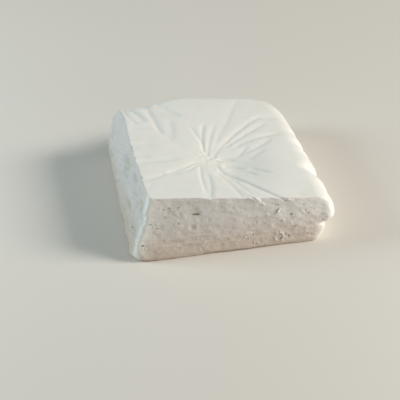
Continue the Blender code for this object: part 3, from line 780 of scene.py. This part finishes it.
def crumbTree():
    # Sets lumpy grains on the cut faces and on the points given
    tree, given = startTree("curdCrumbs", (
        ("Geometry", "Geometry"), ("Face", "Object"), ("Density", "Float"), ("Smallest", "Float"),
        ("Largest", "Float"), ("Seed", "Int"), ("Material", "Material")))
    seeds = crumbs["seeds"]
    face = addNode(tree, "GeometryNodeObjectInfo", None, {"Object": given["Face"]})
    scattered = addNode(tree, "GeometryNodeDistributePointsOnFaces", None,
                        {"Mesh": face.outputs["Geometry"], "Selection": onPaste(tree),
                         "Density": given["Density"], "Seed": given["Seed"]})
    radius = addNode(tree, "FunctionNodeRandomValue", {"data_type": "FLOAT"},
                     {"Min": given["Smallest"], "Max": given["Largest"], "Seed": seeds["radius"]})
    kept = addNode(tree, "GeometryNodeStoreNamedAttribute", {"data_type": "FLOAT"},
                   {"Geometry": scattered.outputs["Points"], "Name": "size",
                    "Value": radius.outputs["Value"]})
    shownPoints = addNode(tree, "GeometryNodeMeshToPoints", None, {"Mesh": given["Geometry"]})
    both = addNode(tree, "GeometryNodeJoinGeometry", None, {0: [kept.outputs[0], shownPoints.outputs[0]]})
    size = addNode(tree, "GeometryNodeInputNamedAttribute", {"data_type": "FLOAT"}, {"Name": "size"})
    least, most = crumbs["stretch"]
    stretch = addNode(tree, "FunctionNodeRandomValue", {"data_type": "FLOAT_VECTOR"},
                      {"Min": least, "Max": most, "Seed": seeds["stretch"]})
    scale = addNode(tree, "ShaderNodeVectorMath", {"operation": "SCALE"},
                    {0: stretch.outputs["Value"], "Scale": size.outputs["Attribute"]})
    # The crumbs take the lighter skin colour: painted highlight that shows them as bright specks
    grains = lumpyBalls(tree, both.outputs[0], crumbs, "skin", scale.outputs[0])
    return finishTree(tree, grains, given["Material"])


def clingingCrumbs(body, shift, material):
    places, sizes = [], []
    for x, z, size in crumbs["shown"]:
        face = frontCut(x, z) - frontRelief(np.array([x]), np.array([z]))[0]
        places.append((x, face - crumbs["sunk"] * size, z))
        sizes.append(size)
    piece = newPiece("fetaCrumbs", np.array(places) * mm + shift, [], {"size": np.array(sizes) * mm})
    return growNodes(piece, crumbTree(), crumbs, {"Face": body, "Material": material})


# Camera at the photograph's angle, in metres and degrees
viewpoint = {
    "place": (-0.20063, -1.21033, 0.92008), "turn": (52.84, 0.0, -8.7185), "lens": 164.52, "sensor": 36.0,
}

# Soft studio light: a large panel high on the right, a cool one on the left, a faint one towards the upright
# edge and a low one at the front right. Each has its place, size, power and colour.
studio = {
    "world": ("#FCFEFF", 0.205),
    "panels": (("keyPanel", (2.26, -0.36, 1.57), 0.96, 58.0, "#FFFCF6"),
               ("coolPanel", (-0.86, 0.16, 0.42), 0.3, 4.8, "#D1E8F2"),
               ("edgePanel", (-0.66, -0.50, 0.10), 0.3, 0.36, "#F2F3F0"),
               ("frontPanel", (0.46, -0.29, 0.06), 0.2, 0.90, "#FFFDFC")),
    "aim": (0.0, 0.0, 0.02),
    "floor": "#E2DCD2", "floorHalf": 3.0, "floorLevel": -0.0002, "floorRoughness": 0.9,
}


def makeCamera():
    data = bpy.data.cameras.new("photoCamera")
    data.lens, data.sensor_width = viewpoint["lens"], viewpoint["sensor"]
    camera = bpy.data.objects.new("photoCamera", data)
    camera.location = viewpoint["place"]
    camera.rotation_euler = [math.radians(angle) for angle in viewpoint["turn"]]
    bpy.context.scene.collection.objects.link(camera)
    bpy.context.scene.camera = camera


def makeStudio():
    scene = bpy.context.scene
    scene.view_settings.view_transform = "Standard"
    world = bpy.data.worlds.new("studioWorld")
    world.use_nodes = True
    background = world.node_tree.nodes.get("Background") or addNode(world.node_tree, "ShaderNodeBackground")
    background.inputs["Color"].default_value = toLinear(studio["world"][0])
    background.inputs["Strength"].default_value = studio["world"][1]
    scene.world = world
    for name, place, size, power, colour in studio["panels"]:
        data = bpy.data.lights.new(name, "AREA")
        data.shape, data.size, data.energy = "SQUARE", size, power
        data.color = toLinear(colour)[:3]
        panel = bpy.data.objects.new(name, data)
        panel.location = place
        toBlock = Vector(studio["aim"]) - panel.location
        panel.rotation_euler = toBlock.to_track_quat("-Z", "Y").to_euler()
        scene.collection.objects.link(panel)
    half, level = studio["floorHalf"], studio["floorLevel"]
    data = bpy.data.meshes.new("floor")
    data.from_pydata([(-half, -half, level), (half, -half, level), (half, half, level), (-half, half, level)],
                     [], [(0, 1, 2, 3)])
    floor = bpy.data.objects.new("floor", data)
    scene.collection.objects.link(floor)
    material = bpy.data.materials.new("palePaper")   # matt studio paper
    material.use_nodes = True
    shader = material.node_tree.nodes["Principled BSDF"]
    shader.inputs["Base Color"].default_value = toLinear(studio["floor"])
    shader.inputs["Roughness"].default_value = studio["floorRoughness"]
    data.materials.append(material)


makeCamera()
makeStudio()
print("camera and studio ready")

material = fetaMaterial()
body, shift = blockBody()
print("block shaped:", len(body.data.polygons), "faces")

crumbPiece = clingingCrumbs(body, shift, material)
print("crumbs set:", len(crumbPiece.data.polygons), "faces")

places = holePlaces(shift)
growNodes(body, holeTree(), curdHoles,
          {"Shown Places": places, "Apart": curdHoles["apart"] * mm, "Material": material})
bpy.data.objects.remove(places)
body.data.shade_smooth()
body.data.set_sharp_from_angle(angle=math.radians(mesh["sharpAngle"]))
crumbPiece.data.shade_smooth()
print("curd holes cut:", sum(len(face.vertices) - 2 for face in body.data.polygons), "triangles")

for piece in (body, crumbPiece):
    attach(piece, "root")
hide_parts("feta_block")
